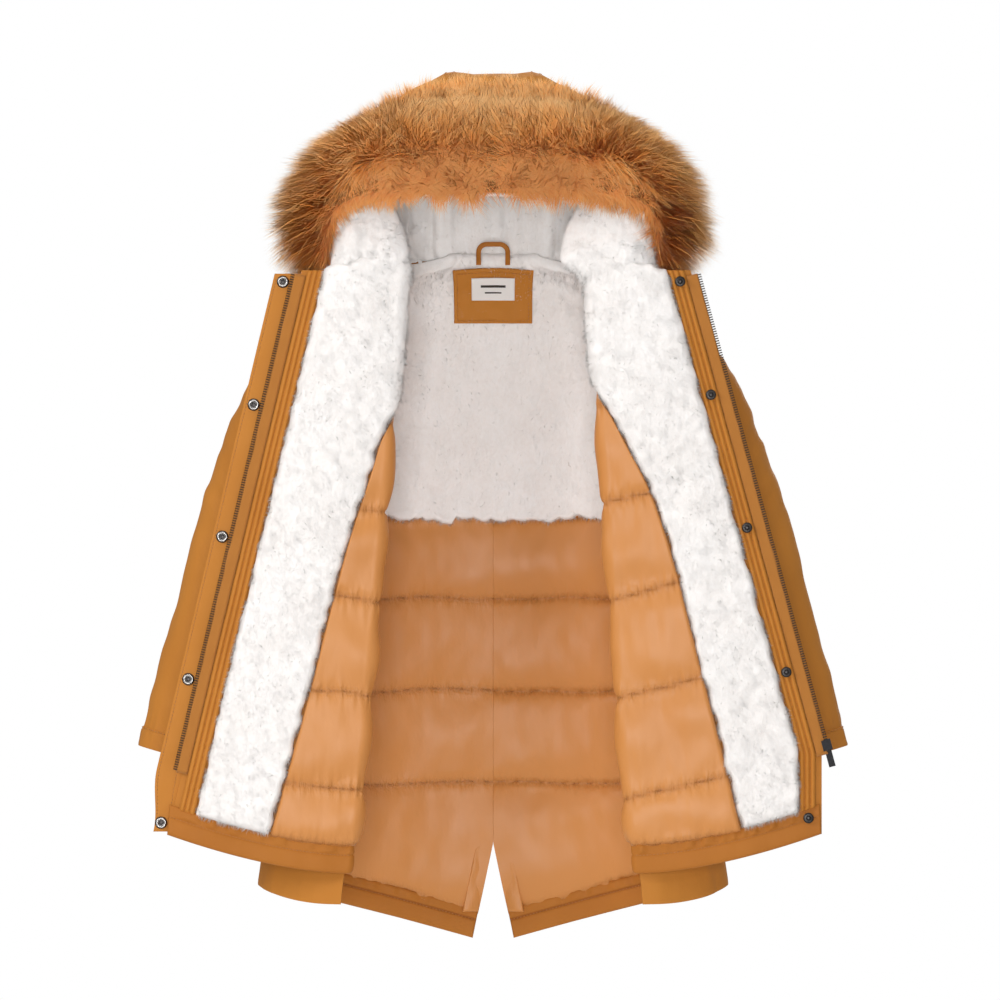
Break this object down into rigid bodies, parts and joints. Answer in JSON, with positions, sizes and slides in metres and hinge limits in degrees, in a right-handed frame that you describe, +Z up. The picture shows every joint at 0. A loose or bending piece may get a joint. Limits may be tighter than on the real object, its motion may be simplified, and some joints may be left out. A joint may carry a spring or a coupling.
{
  "type": "hooded winter parka",
  "caption": "Open hooded parka in camel fabric with white plush and quilted satin lining, fur hood trim, zip, storm flap and snaps.",
  "frame": {"origin": "underside of the top bar of the hanging loop at the nape, where a peg carries the coat", "axes": "+Z up, -Y is the way the wearer faces, +X is the wearer's left"},
  "size_m": [0.876, 0.2802, 1.0667],
  "materials": {
    "shell_fabric": "fine matt twill",
    "satin_lining": "soft satin sheen",
    "white_plush": "short dense pile",
    "faux_fur": "long pile with lighter tips",
    "label_satin": "smooth woven tape",
    "zip_tape": "woven tape",
    "zip_metal": "dark gunmetal",
    "snap_metal": "polished",
    "stud_metal": "dark gunmetal",
    "black_metal": "gloss black"
  },
  "bodies": {
    "body": {"back_shell": "shell_fabric", "back_plush": "white_plush", "back_quilt": "satin_lining", "right_back_hem_band": "shell_fabric", "left_back_hem_band": "shell_fabric", "neck_patch": "shell_fabric", "neck_label": "label_satin", "hang_loop": "shell_fabric", "right_side_shell": "shell_fabric", "right_side_lining": "satin_lining", "left_side_shell": "shell_fabric", "left_side_lining": "satin_lining"},
    "right_front": {"right_front_shell": "shell_fabric", "right_front_quilt": "satin_lining", "right_front_plush": "white_plush", "right_placket": "shell_fabric", "right_front_hem_band": "shell_fabric", "right_zip_tape": "zip_tape", "right_zip_teeth": "zip_metal"},
    "storm_flap": {"storm_flap": "shell_fabric", "snap_socket_1": "snap_metal", "snap_socket_2": "snap_metal", "snap_socket_3": "snap_metal", "snap_socket_4": "snap_metal", "snap_socket_5": "snap_metal"},
    "left_front": {"left_front_shell": "shell_fabric", "left_front_quilt": "satin_lining", "left_front_plush": "white_plush", "left_placket": "shell_fabric", "left_front_hem_band": "shell_fabric", "left_zip_tape": "zip_tape", "left_zip_teeth": "zip_metal", "snap_stud_1": "stud_metal", "snap_stud_2": "stud_metal", "snap_stud_3": "stud_metal", "snap_stud_4": "stud_metal", "snap_stud_5": "stud_metal"},
    "zip_slider": {"zip_slider": "black_metal"},
    "zip_pull": {"zip_pull": "black_metal"},
    "right_sleeve": {"right_sleeve_shell": "shell_fabric", "right_sleeve_lining": "satin_lining", "right_cuff": "shell_fabric"},
    "left_sleeve": {"left_sleeve_shell": "shell_fabric", "left_sleeve_lining": "satin_lining", "left_cuff": "shell_fabric"},
    "hood": {"hood_shell": "shell_fabric", "hood_plush": "white_plush", "fur_trim": "faux_fur", "right_collar": "white_plush", "left_collar": "white_plush"}
  },
  "joints": [
    {"name": "right_front_fold", "type": "hinge", "parent": "body", "child": "right_front", "pos_m": [-0.116, -0.13625, -0.033], "axis": [0.0853, 0, 0.9964], "range_deg": [0, 148]},
    {"name": "left_front_fold", "type": "hinge", "parent": "body", "child": "left_front", "pos_m": [0.125, -0.13625, -0.033], "axis": [0.0718, 0, -0.9974], "range_deg": [0, 172]},
    {"name": "storm_flap_fold", "type": "hinge", "parent": "right_front", "child": "storm_flap", "pos_m": [-0.22957, -0.13725, -0.037], "axis": [-0.2315, 0, -0.9728], "range_deg": [0, 60]},
    {"name": "zip_slider_travel", "type": "slide", "parent": "left_front", "child": "zip_slider", "axis": [-0.2625, 0, 0.9649], "range_m": [0, 0.56]},
    {"name": "zip_pull_swing", "type": "hinge", "parent": "zip_slider", "child": "zip_pull", "pos_m": [0.40606, -0.1389, -0.60854], "axis": [0.9649, 0, 0.2625], "range_deg": [0, 150]},
    {"name": "right_sleeve_lift", "type": "hinge", "parent": "body", "child": "right_sleeve", "pos_m": [-0.214, -0.02625, -0.093], "axis": [0, 1, 0], "range_deg": [0, 60]},
    {"name": "left_sleeve_lift", "type": "hinge", "parent": "body", "child": "left_sleeve", "pos_m": [0.214, -0.02625, -0.093], "axis": [0, -1, 0], "range_deg": [0, 60]},
    {"name": "hood_fold", "type": "hinge", "parent": "body", "child": "hood", "pos_m": [0, 0.02775, 0.003], "axis": [-1, 0, 0], "range_deg": [0, 95]}
  ]
}
